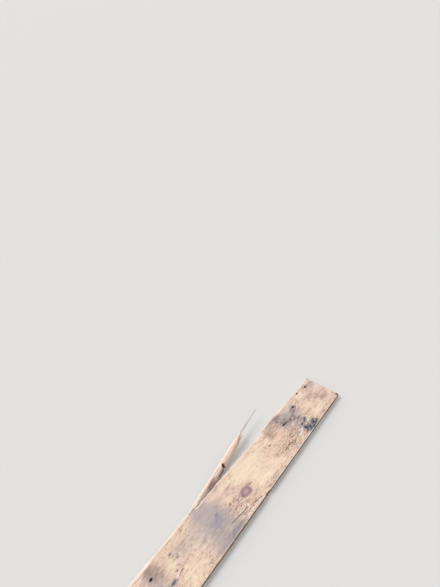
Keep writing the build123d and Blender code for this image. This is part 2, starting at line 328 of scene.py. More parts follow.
def face_marks(kind, along, across, up):
    """Strength of one kind of mark at each point; it goes a little way into the wood."""
    total = np.zeros(along.shape)
    for mark_along, mark_across, long, wide, strength in MARKS.get(kind, ()):
        total += strength * hump(along, mark_along, long) * hump(across, mark_across, wide)
    # Painted shade lies along the tongue's arris, for the shoulder above the tongue, and a painted highlight
    # runs along the groove's arris, whitest towards the middle of the split.
    if kind == "brown":
        painted_shoulder_shade = 0.55 * hump(across, FACE - 2.5, 2.4) * (along > SPLIT - 8)
        total += painted_shoulder_shade * (0.6 + 0.6 * drift(71, (along, 30)))
    # The groove's arris is painted nearly white as a painted highlight
    if kind == "bleach":
        total += 1.3 * hump(across, 1.0, 1.9) * np.clip(1.4 - np.abs(along - 330) / 240, 0, 1)
    total *= np.exp(-np.clip(THICK - up, 0, None) / 6)
    # The underside is grey, but clean on each support, with a brown line at both its sides.
    if kind == "weather":
        total += np.exp(-up / 2.5) * (0.75 - 0.7 * sum(hump(along, joist, 26) for joist in SUPPORTS))
    if kind == "brown":
        total += np.exp(-up / 2.5) * 0.6 * sum(hump(along, joist + side, 5) for joist in SUPPORTS
                                               for side in (-27, 27))
    return total


class Shell:
    """Collects the patches of one piece of wood. Patches share the points along their seams."""

    KINDS = ("fresh", "grime", *MARKS)

    def __init__(self):
        self.rest, self.real, self.faces = [], [], []
        self.finish = {kind: [] for kind in self.KINDS}

    def points(self, along, across, up, moved=None, **finish):
        """Adds points, with any finish they have by themselves, and returns their numbers."""
        along, across, up = np.broadcast_arrays(along, across, up)
        rest = np.stack([along, across, up], -1).reshape(-1, 3)
        start = sum(len(r) for r in self.rest)
        self.rest.append(rest)
        self.real.append(rest if moved is None else np.stack(np.broadcast_arrays(*moved), -1).reshape(-1, 3))
        for kind in self.KINDS:
            self.finish[kind].append(np.broadcast_to(finish.get(kind, 0.0), along.shape).reshape(-1))
        return np.arange(start, start + len(rest)).reshape(along.shape)

    def weave(self, rows):
        """Four-sided faces between neighbouring rows of points."""
        a, b, c, d = rows[:-1, :-1], rows[:-1, 1:], rows[1:, 1:], rows[1:, :-1]
        self.faces += np.stack([a, b, c, d], -1).reshape(-1, 4).tolist()

    def fill(self, outline, holes, inside, flat):
        """Triangles between an outline, its holes and the points inside. flat turns points to 2-D."""
        loops = [list(outline)] + [list(hole) for hole in holes]
        numbers = np.array([n for loop in loops for n in loop] + list(inside))
        spots = flat(np.concatenate(self.rest)[numbers])
        edges, first = [], 0
        for loop in loops:
            edges += [(first + i, first + (i + 1) % len(loop)) for i in range(len(loop))]
            first += len(loop)
        made = delaunay_2d_cdt([tuple(s) for s in spots], edges, [], 0, 1e-7)
        source = [sources[0] for sources in made[3]]
        triangles = np.array([[source[i] for i in triangle] for triangle in made[2]])
        middle = spots[triangles].mean(1)
        keep = np.zeros(len(triangles), bool)
        first = 0
        for loop in loops:
            ring = spots[first:first + len(loop)]
            first += len(loop)
            for (x0, y0), (x1, y1) in zip(ring, np.roll(ring, -1, 0)):
                if y0 != y1:
                    level = (middle[:, 1] < y0) != (middle[:, 1] < y1)
                    keep ^= level & (middle[:, 0] < x0 + (middle[:, 1] - y0) * (x1 - x0) / (y1 - y0))
        self.faces += numbers[triangles[keep]].tolist()

    def build(self, name, sharp):
        """Makes the Blender object, with what the wood's finish reads stored at each point."""
        rest, real = np.concatenate(self.rest), np.concatenate(self.real)
        mesh = bpy.data.meshes.new(name)
        mesh.from_pydata(place(real).tolist(), [], self.faces)
        work = bmesh.new()
        work.from_mesh(mesh)
        bmesh.ops.recalc_face_normals(work, faces=work.faces)
        work.to_mesh(mesh)
        work.free()
        mesh.shade_smooth()
        mesh.set_sharp_from_angle(angle=math.radians(sharp))
        along, across, up = rest.T
        stores = {kind: np.concatenate(own) + face_marks(kind, along, across, up)
                  for kind, own in self.finish.items()}
        stores |= {"ring": growth_rings(along, across, up), "knot": knot_distance(along, across)}
        for key, values in stores.items():
            mesh.attributes.new(key, "FLOAT", "POINT").data.foreach_set("value", values.astype(np.float32))
        store = mesh.attributes.new("rest", "FLOAT_VECTOR", "POINT")
        store.data.foreach_set("vector", place(rest).astype(np.float32).ravel())
        made = bpy.data.objects.new(name, mesh)
        bpy.context.scene.collection.objects.link(made)
        return made


def place(points):
    """Board millimetres to metres in the frame of the part."""
    return (np.array([LENGTH / 2, -FACE / 2, 0.0]) + points * (-1, 1, 1)) / 1000


board = Shell()

groove_stations = np.linspace(0, LENGTH, 451)
break_stations = np.linspace(0, SPLIT, 361)
tongue_stations = np.linspace(SPLIT, LENGTH, 271)


def arris_wear(seed, along, chips):
    """How far a long top edge is worn and chipped back."""
    worn = 0.5 + 0.5 * drift(seed, (along, 55)) + 0.25 * drift(seed + 1, (along, 12))
    rng = np.random.RandomState(seed)
    for _ in range(chips):
        middle, half, deep = rng.uniform(10, LENGTH - 10), rng.uniform(3, 12), rng.uniform(0.6, 2.4)
        worn += deep * np.exp(-((along - middle) / half) ** 4)
    return np.clip(worn, 0, None)


def meet_face(along, across, up, share=0.7):
    """Lifts an edge's first row of points to the worn face, and the second by a share of that."""
    up = np.broadcast_to(up, across.shape).copy()
    up[0] += face_height(along, across[0])
    up[1] += share * (up[0] - THICK)
    return up


# Groove edge, from the face round both lips to the underside: across, up, share of the wear
groove_profile = np.array([
    (0.6, THICK, 1.0), (0.2, 21.7, 0.5), (0.0, 21.1, 0.1), (0.0, 17.6, 0.0), (0.0, 14.2, 0.0),
    (0.3, GROOVE_TOP, 0.0), (5.0, GROOVE_TOP, 0.0), (12.6, GROOVE_TOP, 0.0), (GROOVE_DEEP, 13.2, 0.0),
    (GROOVE_DEEP, TONGUE_MID, 0.0), (GROOVE_DEEP, 6.8, 0.0), (12.6, GROOVE_LOW, 0.0),
    (5.0, GROOVE_LOW, 0.0), (0.8, GROOVE_LOW, 0.0), (0.5, 5.9, 0.0), (0.5, 3.0, 0.0), (0.5, 0.4, 0.0),
    (0.9, 0.0, 0.0),
])
rows = np.arange(len(groove_profile))[:, None]
worn_down = np.array([0.0, 0.7] + [0.9] * 17)[:, None]      # share of an arris's wear that goes down
worn = arris_wear(21, groove_stations, 26)
lip_from, lip_to, lip_deep = LIP_BREAK
lip_gap = lip_deep * np.clip((groove_stations - lip_from) / 8, 0, 1)
lip_gap *= np.clip((lip_to - groove_stations) / 9, 0, 1)
lip_gap *= 1 + 0.25 * drift(23, (groove_stations, 5))
across = groove_profile[:, :1] + groove_profile[:, 2:] * worn
across[:7] = np.maximum(across[:7], lip_gap + np.array([0.9, 0.7, 0.4, 0.2, 0.1, 0.2, 1.2])[:, None])
up = groove_profile[:, 1:2] - groove_profile[:, 2:] * worn * worn_down[:len(rows)]
up = meet_face(groove_stations, across, up)
across[3:] += 0.1 + 0.1 * drift(25, (groove_stations, 40), (rows[:-3] * 3.0, 6))

# Near-black fills the groove and the upper lip's side: old grime with painted shade, as this side lies in
# shade; the lower lip is nearly clean, and the break in the upper lip nearly so
grime = np.array([0.0, 0.2, 0.95, 1.05, 1.1] + [1.2] * 8 + [0.35, 0.05, 0.0, 0.3, 0.5])[:, None]
grime = grime * (0.94 + 0.1 * drift(24, (groove_stations, 24), (rows, 2)))
grime = grime * (1 - 0.7 * lip_gap / lip_deep * (rows < 5))
# The lower lip's side is painted pale: clean wood with a painted highlight along it, strongest towards the
# split end
lip_clean_and_highlight = np.array([0.0] * 13 + [0.5, 1.0, 1.0, 0.8, 0.0])[:, None]
lip_clean_and_highlight = lip_clean_and_highlight * (0.3 + 0.7 * hump(groove_stations, 160, 120))
groove_edge = board.points(groove_stations, across, up, grime=grime, fresh=lip_clean_and_highlight)
board.weave(groove_edge)

# Tongue edge, from the face over the tongue to the underside
tongue_profile = np.array([
    (-0.6, THICK, 1.0), (-0.2, 21.7, 0.5), (0.0, 21.1, 0.1), (0.0, 17.6, 0.0), (0.0, 13.9, 0.0),
    (0.4, TONGUE_TOP, 0.0), (5.5, TONGUE_TOP, 0.0), (11.6, 13.45, 0.0), (12.6, 12.9, 0.0),
    (TONGUE_OUT, 12.0, 0.0), (TONGUE_OUT, 8.0, 0.0), (12.6, 7.1, 0.0), (11.6, 6.55, 0.0),
    (5.5, TONGUE_LOW, 0.0), (0.4, TONGUE_LOW, 0.0), (0.0, 6.1, 0.0), (0.0, 3.0, 0.0), (0.0, 0.4, 0.0),
    (-0.4, 0.0, 0.0),
])

# Its finish at each of those points: dirt below, a tongue that its neighbour kept clean, and a painted
# highlight along the tongue's nose
tongue_grime = np.array([0, 0.05, 0.15, 0.2, 0.35, 0.1] + [0] * 5 + [0.1, 0.3, 0.5, 0.6] + [0.5] * 4)
tongue_fresh = np.array([0] * 5 + [0.4, 0.7, 0.95, 1, 1, 1, 0.6, 0.3] + [0] * 6)
tongue_rosy = np.array([0] * 4 + [0.4, 0.9, 0.7, 0.3] + [0] * 11)
tongue_nose_highlight = np.array([0] * 6 + [0.35, 1.2, 1.4, 1.2, 0.6] + [0] * 8)


def tongue_shape(stations):
    """The tongue edge's points at these stations, with its worn arris and bruised nose."""
    wear = np.clip(arris_wear(27, stations, 14), 0, 1.6)
    across = FACE + tongue_profile[:, :1] - tongue_profile[:, 2:] * wear
    bruise = np.clip(0.5 * drift(29, (stations, 30)) + 0.5 * drift(30, (stations, 8)), 0, 1)
    across[7:13] -= bruise * np.array([0.3, 0.7, 1.0, 1.0, 0.7, 0.3])[:, None]
    up = tongue_profile[:, 1:2] - tongue_profile[:, 2:] * wear * worn_down
    return across, meet_face(stations, across, up)


across, up = tongue_shape(tongue_stations)
tongue_edge = board.points(tongue_stations, across, up, grime=tongue_grime[:, None],
                           fresh=tongue_fresh[:, None] * (1 - 0.6 * hump(tongue_stations, SPLIT, 14)),
                           rosy=tongue_rosy[:, None], bleach=tongue_nose_highlight[:, None])
board.weave(tongue_edge)

# Broken edge, raw from the face to the underside, with the nail that started it
break_ups = np.concatenate([[THICK, 21.3], np.linspace(20.4, 1.0, 21), [0.0]])[:, None]


def nail_bite(along, deep, half):
    """How far the old nail's hole eats into the split."""
    return deep * np.exp(-(np.abs(np.asarray(along, float) - SPLIT_NAIL) / half) ** 3)


across = broken_across(break_stations, break_ups) - nail_bite(break_stations, 2.5, 3.0)
up = meet_face(break_stations, across, break_ups, 0.6)
broken_edge = board.points(break_stations, across, up, iron=nail_bite(break_stations, 1.2, 8.0),
                           fresh=np.clip(1 - nail_bite(break_stations, 1.2, 9.0), 0, 1),
                           mauve=0.8 * hump(break_stations, 600, 26) + 0.6 * hump(break_stations, 285, 40))
board.weave(broken_edge)

# The split's root. Its straight side is bowed while it is filled, so that no triangle is flat.
board.fill(list(tongue_edge[:, 0]) + list(broken_edge[::-1, -1]), [], [],
           lambda p: np.column_stack([p[:, 1] + 0.01 * p[:, 2] * (THICK - p[:, 2]), p[:, 2]]))

# Sawn ends: rows of points along the face and the underside close each of them
saw = {}
for end, groove, other in ((0.0, groove_edge[:, 0], broken_edge[:, 0]),
                           (LENGTH, groove_edge[:, -1], tongue_edge[:, -1])):
    every = np.concatenate(board.rest)
    edges = []
    for row, step in ((0, 1.6), (-1, 6.0)):
        span = np.linspace(every[groove[row], 1], every[other[row], 1],
                           int((every[other[row], 1] - every[groove[row], 1]) / step) + 2)[1:-1]
        height = THICK + face_height(end, span) if row == 0 else 0.0
        edges.append(board.points(end, span, height, grime=0.3))
    outline = [groove[0], *edges[0], *other, *edges[1][::-1], *groove[:0:-1]]
    inside_across, inside_up = np.meshgrid(np.arange(2.0, FACE + TONGUE_OUT, 2.0),
                                           np.arange(1.5, THICK - 1.7, 1.4))
    inside_across, inside_up = inside_across.ravel(), inside_up.ravel()
    if end == 0:
        limit = np.interp(inside_up, every[other, 2][::-1], every[other, 1][::-1])
    else:
        limit = np.where(np.abs(inside_up - TONGUE_MID) < 2.6, FACE + TONGUE_OUT, FACE)
    in_groove = (inside_across < GROOVE_DEEP + 1) & (np.abs(inside_up - TONGUE_MID) < 4.8)
    keep = (inside_across < limit - 1.2) & ~in_groove
    inside_across, inside_up = inside_across[keep], inside_up[keep]
    sunk = 0.55 - 0.3 * late_wood(end, inside_across, inside_up) ** 3
    sunk += 0.15 * drift(33, (inside_across, 4), (inside_up, 3))
    sunk += 0.1 * np.sin(inside_across / 1.9 + inside_up * 0.8)     # the saw's scratches
    inside = board.points(end + sunk if end == 0 else end - sunk, inside_across, inside_up,
                          grime=0.4, brown=0.5)
    board.fill(outline, [], inside, lambda p: p[:, 1:])
    saw[end] = edges

# Nail holes, punched from the face: a torn mouth, a straight shank and a burst underside
HOLE_LONG = 1.1                     # a hole's length over its width
HOLE_RINGS = ((3.5, 0.0), (2.9, 0.7), (2.1, 1.7), (2.0, 6.0), (2.0, 12.0), (2.0, 18.0), (2.0, 21.3),
              (2.9, THICK))         # radius and depth
top_holes, bottom_holes = [], []
for number, (nail_along, nail_across) in enumerate(NAILS):
    turn = np.linspace(0, 2 * np.pi, 20, endpoint=False)
    ragged = 1 + 0.16 * drift(60 + number, (turn * 3, 1.3))
    rings = []
    for radius, depth in HOLE_RINGS:
        reach = radius * (ragged if depth < 1 else 1)
        along = nail_along + reach * np.cos(turn) * HOLE_LONG
        across = nail_across + reach * np.sin(turn)
        height = face_height(along, across) * max(0, 1 - depth / 6)
        rings.append(board.points(along, across, THICK - depth + height, grime=1.0 if depth else 0.7))
    rings = np.array(rings)
    board.weave(np.column_stack([rings, rings[:, :1]]))
    top_holes.append(rings[0])
    bottom_holes.append(rings[-1])

# Open checks along the grain, V-shaped
for number, (path, wide, deep) in enumerate(CHECKS):
    path = np.array(path, float)
    run = np.concatenate([[0], np.cumsum(np.hypot(*np.diff(path, axis=0).T))])
    share = np.linspace(0, 1, max(8, int(run[-1] / 3)))
    along = np.interp(share * run[-1], run, path[:, 0])
    across = np.interp(share * run[-1], run, path[:, 1]) + 0.3 * drift(80 + number, (along, 7))
    half = wide / 2 * np.sin(np.pi * share ** 0.7) ** 0.6 * (1 + 0.35 * drift(90 + number, (along, 6)))
    top = THICK + face_height(along, across)
    middle, ends = slice(1, -1), [0, -1]
    left = board.points(along[middle], (across + half)[middle], top[middle], grime=0.4)
    right = board.points(along[middle], (across - half)[middle], top[middle], grime=0.4)
    bottom = board.points(along[middle], across[middle],
                          THICK - deep * np.sin(np.pi * share ** 0.8)[middle] ** 0.5, grime=1.2)
    tips = board.points(along[ends], across[ends], top[ends], grime=0.2)
    board.weave(np.array([left, bottom, right]))
    board.faces += [[tips[0], left[0], bottom[0]], [tips[0], bottom[0], right[0]],
                    [tips[1], bottom[-1], left[-1]], [tips[1], right[-1], bottom[-1]]]
    top_holes.append([tips[0], *left, tips[1], *right[::-1]])

every = np.concatenate(board.rest)


def outline_at(row):
    """The board's outline on the face, which is row 0, or on the underside, which is row -1."""
    return [*groove_edge[row], *saw[LENGTH][row], *tongue_edge[row][::-1],
            *broken_edge[row][::-1], *saw[0.0][row][::-1]]


def edge_across(edge, row, along):
    """Where an edge runs on the face or on the underside."""
    return np.interp(along, every[edge[row], 0], every[edge[row], 1])


# Worn face: fine across the grain, coarse along it; the newly bared wood shows beside the break.
# No point lies in the opening of a nail hole or a check.
along, across = np.meshgrid(np.arange(4, LENGTH - 2, 4.2), np.arange(2.0, FACE, 1.5))
along = along + 1.2 * drift(35, (along, 9), (across, 2.5))
along, across = along.ravel(), across.ravel()
furthest = np.where(along > SPLIT, edge_across(tongue_edge, 0, along), edge_across(broken_edge, 0, along))
keep = (across > edge_across(groove_edge, 0, along) + 1.0) & (across < furthest - 1.0)
for nail_along, nail_across in NAILS:
    keep &= np.hypot((along - nail_along) / HOLE_LONG, across - nail_across) > 5.2
for path, wide, _ in CHECKS:
    for a, b in zip(np.array(path, float), np.array(path[1:], float)):
        run = b - a
        t = np.clip(((along - a[0]) * run[0] + (across - a[1]) * run[1]) / (run @ run), 0, 1)
        keep &= np.hypot(along - a[0] - t * run[0], across - a[1] - t * run[1]) > 0.7 * wide + 1.1
along, across, furthest = along[keep], across[keep], furthest[keep]
bared = np.where(along < SPLIT, np.exp(-((furthest - across) / 3.6) ** 3), 0)
bared = np.clip(bared * (0.8 + 0.5 * drift(36, (along, 14))), 0, 1)
inside = board.points(along, across, THICK + face_height(along, across), fresh=bared, bleach=bared)
board.fill(outline_at(0), top_holes, inside, lambda p: p[:, :2] * (0.4, 1.0))

# Sawn underside: the band saw's ripple runs across it. No point lies near the split's root, where
# the edge steps in.
along, across = np.meshgrid(np.arange(6, LENGTH - 4, 3.4), np.arange(5.0, FACE, 7.0))
along, across = along.ravel(), across.ravel()
furthest = np.where(along > SPLIT, FACE, edge_across(broken_edge, -1, along))
keep = (across < furthest - 4) & (np.abs(along - SPLIT) > 2)
for nail_along, nail_across in NAILS:
    keep &= np.hypot(along - nail_along, across - nail_across) > 6
along, across = along[keep], across[keep]
ripple = 0.22 * np.sin(2 * np.pi * (along + 4 * drift(37, (across, 40))) / 13.6)
ripple += 0.2 * drift(38, (along, 14), (across, 10))
inside = board.points(along, across, 0.45 + ripple, grime=0.12)
board.fill(outline_at(-1), bottom_holes, inside, lambda p: p[:, :2] * (0.6, 1.0))

plank = board.build("plank", 38)


# Bare pitch pine: planed, worn and stained
# Pale early wood and brown late wood in each growth ring give the grain its stripes. It is matt,
# rosy to cream where it is clean, grey or blue where damp lay, and cream where it is newly torn.

def linear(hex_colour):
    """An sRGB hex colour as linear red, green, blue and alpha."""
    parts = [int(hex_colour[i:i + 2], 16) / 255 for i in (1, 3, 5)]
    return [c / 12.92 if c <= 0.04045 else ((c + 0.055) / 1.055) ** 2.4 for c in parts] + [1.0]


def add_node(kind, inputs=(), **settings):
    """Adds a node to the tree at hand. Its inputs are listed in the order of its sockets, or given
    by name or number: a plain value, an output, or a node, which stands for its output in use."""
    made = tree.nodes.new("ShaderNode" + kind)
    for name, value in settings.items():
        setattr(made, name, value)
    if not isinstance(inputs, dict):
        inputs = dict(enumerate(inputs))
    for socket, value in inputs.items():
        if isinstance(value, bpy.types.Node):
            value = next(output for output in value.outputs if output.enabled)
        if isinstance(value, bpy.types.NodeSocket):
            tree.links.new(value, made.inputs[socket])
        else:
            made.inputs[socket].default_value = value
    return made


EARLY_ROSY, EARLY_CREAM, LATE_WOOD = linear("#F1D3C2"), linear("#F8DFC4"), linear("#CDA78F")
KNOT_HEART, KNOT_RIM = linear("#CCA8A5"), linear("#8C6876")
TORN, HANDLED = linear("#FCEFE0"), linear("#C09778")
# The near-black is old grime and also painted shade, in the groove and low in the split
RESIN, IRON_BLACK, GRIME_AND_SHADE_DARK = linear("#67524D"), linear("#2C2A31"), linear("#1E1714")

pine = bpy.data.materials.new("bare_pitch_pine")
pine.use_nodes = True
tree = pine.node_tree
tree.nodes.clear()
stored = {key: add_node("Attribute", attribute_name=key).outputs["Fac"]
          for key in ("ring", "knot", *Shell.KINDS)}
rest = add_node("Attribute", attribute_name="rest").outputs["Vector"]

# Grain noises, by the size in millimetres of one feature along and across the fibres.
# Single fibres are a twentieth of a millimetre wide, so they are drawn coarser to show.
grain = {}
for key, long, wide, detail in (("fibre", 22, 0.8, 2), ("streak", 80, 3.2, 3), ("mottle", 60, 30, 3),
                                ("resin", 13, 1.5, 1), ("blot", 15, 8, 4), ("seam", 14, 2.9, 2),
                                ("tick", 2.6, 5.5, 1), ("freckle", 13, 6, 2)):
    scaled = add_node("VectorMath", [rest, (1000 / long, 1000 / wide, 1000 / wide)], operation="MULTIPLY")
    grain[key] = add_node("TexNoise", {"Vector": scaled, "Scale": 1.0, "Detail": detail})

# Growth rings: a slow rise from early to late wood, then a sharp end
year = add_node("Math", [grain["fibre"], 0.16, stored["ring"]], operation="MULTIPLY_ADD")
year = add_node("Math", [year], operation="FRACT")
late = add_node("ValToRGB", [year])
late.color_ramp.interpolation = "EASE"
late.color_ramp.elements[0].position = 0.34
late.color_ramp.elements[1].position = 0.88
late.color_ramp.elements.new(0.99).color = (0, 0, 0, 1)

# Where colours mix, socket 0 takes the second one's share, and 6 and 7 take the two colours.
early = add_node("MapRange", [grain["mottle"], 0.38, 0.62], interpolation_type="SMOOTHSTEP")
colour = add_node("Mix", {0: early, 6: EARLY_ROSY, 7: EARLY_CREAM}, data_type="RGBA")

# Freckles: small soft brown flecks where years of handling dirt stayed in the pores
freckles = add_node("MapRange", [grain["freckle"], 0.50, 0.74, 0.0, 0.85])
colour = add_node("Mix", {0: freckles, 6: colour, 7: HANDLED}, data_type="RGBA")

# Stains: how much they break up along the fibres and into blots, where each starts and is full,
# its most, and its colour. Iron stain lies on the dirt too, so it is mixed in further down.
ragged = add_node("Math", [grain["blot"], grain["streak"]], operation="ADD")
ragged = add_node("Math", [ragged, 1.0], operation="SUBTRACT")
blots = add_node("Math", [grain["blot"], 0.5], operation="SUBTRACT")
for kind, fibres, blotchy, start, full, most, tint in (
        ("rosy", 0.8, 0.0, 0.20, 1.2, 0.80, "#F5CDBB"), ("cream", 0.6, 0.0, 0.10, 1.1, 0.90, "#FFE9CC"),
        ("weather", 0.5, 0.5, 0.05, 1.1, 0.90, "#BDB1AE"), ("mauve", 0.5, 0.5, 0.10, 1.2, 0.85, "#968089"),
        ("brown", 0.6, 0.6, 0.10, 1.4, 0.75, "#A17F6A"), ("soot", 0.5, 1.6, 0.20, 1.45, 0.80, "#625A5D"),
        ("damp", 0.3, 0.7, 0.20, 1.30, 0.90, "#9196A9"), ("bleach", 0.3, 0.4, 0.20, 1.0, 0.92, "#FFF6EC"),
        ("iron", 0.2, 0.8, 0.22, 1.00, 0.93, None)):
    amount = add_node("Math", [ragged, fibres, stored[kind]], operation="MULTIPLY_ADD")
    amount = add_node("Math", [blots, blotchy, amount], operation="MULTIPLY_ADD")
    stained = add_node("MapRange", [amount, start, full, 0.0, most], interpolation_type="SMOOTHSTEP")
    if kind == "iron":
        iron_stained = stained
    else:
        colour = add_node("Mix", {0: stained, 6: colour, 7: linear(tint)}, data_type="RGBA")

# Late wood darkens whatever lies on it, most where the grain is worn open, and fine streaks of
# fibre lighten and darken it again
darker = add_node("Math", [stored["coarse"], 0.4, 0.28], operation="MULTIPLY_ADD", use_clamp=True)
darker = add_node("Math", [late, darker], operation="MULTIPLY")
colour = add_node("Mix", {0: darker, 6: colour, 7: LATE_WOOD}, data_type="RGBA", blend_type="MULTIPLY")
streaks = add_node("Math", [grain["streak"], grain["fibre"]], operation="ADD")
streaks = add_node("MapRange", [streaks, 0.7, 1.3, 0.80, 1.16])
colour = add_node("VectorMath", {"Vector": colour, "Scale": streaks}, operation="SCALE")

# The knot: rosy heart in rings, dark purple-brown rim
knot_year = add_node("Math", [stored["knot"], 34.0], operation="MULTIPLY")
knot_year = add_node("Math", [grain["blot"], 9.0, knot_year], operation="MULTIPLY_ADD")
knot_year = add_node("Math", [knot_year], operation="SINE")
rim = add_node("Math", [grain["blot"], 0.5, stored["knot"]], operation="MULTIPLY_ADD")
rim_share = add_node("ValToRGB", [rim])
rim_share.color_ramp.elements[0].color = (0.55, 0.55, 0.55, 1)
rim_share.color_ramp.elements[1].color = (0.9, 0.9, 0.9, 1)
rim_share.color_ramp.elements.new(0.62).color = (0.25, 0.25, 0.25, 1)
rim_share = add_node("Math", [knot_year, 0.2, rim_share], operation="MULTIPLY_ADD", use_clamp=True)
knot_wood = add_node("Mix", {0: rim_share, 6: KNOT_HEART, 7: KNOT_RIM}, data_type="RGBA")
in_knot = add_node("MapRange", [rim, 1.55, 1.15, 0.0, 0.9])
colour = add_node("Mix", {0: in_knot, 6: colour, 7: knot_wood}, data_type="RGBA")

# Dirt in the open grain and in the fine cracks across it, short resin streaks and iron stain
seams = add_node("Math", [grain["tick"], 0.8, grain["seam"]], operation="MULTIPLY_ADD")
seams = add_node("MapRange", [seams, 0.94, 1.04], interpolation_type="SMOOTHSTEP")
seams = add_node("Math", [seams, stored["coarse"]], operation="MULTIPLY", use_clamp=True)
dashes = add_node("MapRange", [grain["resin"], 0.68, 0.82, 0.0, 0.22])
dark = add_node("Math", [seams, 0.92, dashes], operation="MULTIPLY_ADD", use_clamp=True)
colour = add_node("Mix", {0: dark, 6: colour, 7: RESIN}, data_type="RGBA")
colour = add_node("Mix", {0: iron_stained, 6: colour, 7: IRON_BLACK}, data_type="RGBA")

# Newly torn wood, then old grime together with painted shade, cover the rest
torn = add_node("Mix", {0: 0.5, 6: TORN, 7: colour}, data_type="RGBA")
torn = add_node("Mix", {0: grain["blot"], 6: TORN, 7: torn}, data_type="RGBA")
torn = add_node("VectorMath", {"Vector": torn, "Scale": streaks}, operation="SCALE")
colour = add_node("Mix", {0: stored["fresh"], 6: colour, 7: torn}, data_type="RGBA")
grime_and_shade_share = add_node("Math", [ragged, stored["grime"]], operation="ADD", use_clamp=True)
grime_and_shade_share = add_node("Math", [grime_and_shade_share, stored["grime"]], operation="MULTIPLY", use_clamp=True)
colour = add_node("Mix", {0: grime_and_shade_share, 6: colour, 7: GRIME_AND_SHADE_DARK}, data_type="RGBA")

# Fibres and late wood stand out a little and dirty grain lies lower, all of it matt
relief = add_node("Math", [grain["fibre"], 0.6, grain["streak"]], operation="MULTIPLY_ADD")
relief = add_node("Math", [late, 0.35, relief], operation="MULTIPLY_ADD")
relief = add_node("Math", [dark, -0.9, relief], operation="MULTIPLY_ADD")
bump = add_node("Bump", {"Height": relief, "Strength": 0.6, "Distance": 0.0006})
rough = add_node("MapRange", [grain["streak"], 0.0, 1.0, 0.56, 0.78])
shader = add_node("BsdfPrincipled", {"Base Color": colour, "Roughness": rough, "IOR": 1.5, "Normal": bump})
add_node("OutputMaterial", {"Surface": shader})

plank.data.materials.append(pine)
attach(plank, "root")
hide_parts("floorboard")


# The torn strip
# A crowbar pulled the tongue and a sliver of the face away at the split end. The strip stays
# joined at the root of the split, springs out and up, and ends in a long splinter of the tongue.

STRIP_TIP, STRIP_TEAR, TEAR_SLANT = 266.0, 400.0, 42.0
SPLAY, LIFT, CRACK_OPEN = 41.0, 42.0, 0.8


def sprung(along):
    """How far the strip stands out and up."""
    t = np.clip((SPLIT - np.asarray(along, float)) / (SPLIT - STRIP_TIP), 0, 1)
    return SPLAY * (1 - (1 - t) ** 1.5), LIFT * t ** 1.5


# Its section at many places along it, closest beside the nail: the break, the face, the tongue
# edge and the underside, all the way round
strip = Shell()
stations = np.concatenate([np.linspace(SPLIT + 3, SPLIT_NAIL + 15, 76),
                           np.linspace(SPLIT_NAIL + 13.5, SPLIT_NAIL - 13.5, 28),
                           np.linspace(SPLIT_NAIL - 15, STRIP_TIP, 122)])
inner = split_across(stations, break_ups[::-1]) + CRACK_OPEN + nail_bite(stations, 7.5, 4.2)
inner_up = np.broadcast_to(break_ups[::-1], inner.shape)
tongue_across, tongue_up = tongue_shape(stations)
inner = np.minimum(inner, tongue_across[0] - 0.3)
share = np.linspace(0, 1, 7)[1:-1, None]
top_across = inner[-1] + (tongue_across[0] - inner[-1]) * share
top_up = THICK + face_height(stations, top_across)
low_across = tongue_across[-1] + (inner[0] - tongue_across[-1]) * share
ring_across = np.concatenate([inner, top_across, tongue_across, low_across])
ring_up = np.concatenate([inner_up, top_up, tongue_up, np.zeros(low_across.shape)])


def ring_finish(on_break, on_face, on_tongue, below):
    """One kind of finish for the points round the strip's section."""
    return np.concatenate([np.full(len(inner), on_break), np.full(len(share), on_face), on_tongue,
                           np.full(len(share), below)])[:, None]


ring_fresh = ring_finish(0.55, 0.0, tongue_fresh ** 3, 0.0)
ring_rosy = ring_finish(0.9, 0.9, tongue_rosy, 0.0)
ring_grime = ring_finish(0.0, 0.0, tongue_grime, 0.4)
# The same painted highlight along the tongue's nose on the strip
ring_nose_highlight = ring_finish(0.0, 0.0, tongue_nose_highlight, 0.0)
rows = np.arange(len(ring_across))[:, None]
on_inner = rows < len(inner) + 3

# Rust at the nail, purple-brown bruises, and painted shade low in the split beside the nail, where the
# crevice lies dark
rust = on_inner * 0.95 * hump(stations, SPLIT_NAIL - 1, 5.5)
bruise = on_inner * (0.7 * hump(stations, 600, 28) + 0.5 * hump(stations, 400, 34)
                     + 0.3 * hump(stations, 460, 22))
crevice_shade = on_inner * np.clip((11 + 13 * hump(stations, 521, 9) - ring_up) / 6, 0, 1)
crevice_shade = crevice_shade * np.clip((stations - 517) / 6, 0, 1) * np.clip((574 - stations) / 24, 0, 1)

# Damp, grey weathering and a white chip at the root, and painted light on the break's face: a painted
# highlight along its top beside the painted shade at the nail, and lighter towards the root, where that face
# is turned from the lamp
damp_root = 0.8 * hump(stations, 706, 6) * np.clip((ring_across - FACE - 6) / 6, 0, 1)
grey_root = hump(stations, 704, 16) * np.clip((ring_across - FACE + 4) / 6, 0, 1)
chipped = 1.6 * hump(stations, 691, 6.5) * np.clip((ring_across - FACE + 3) / 3, 0, 1)
painted_light_on_break = np.clip((ring_up - 10) / 5, 0, 1) * hump(stations, 558, 22)
painted_light_on_break = on_inner * np.maximum(painted_light_on_break, np.clip((stations - 612) / 30, 0, 1))

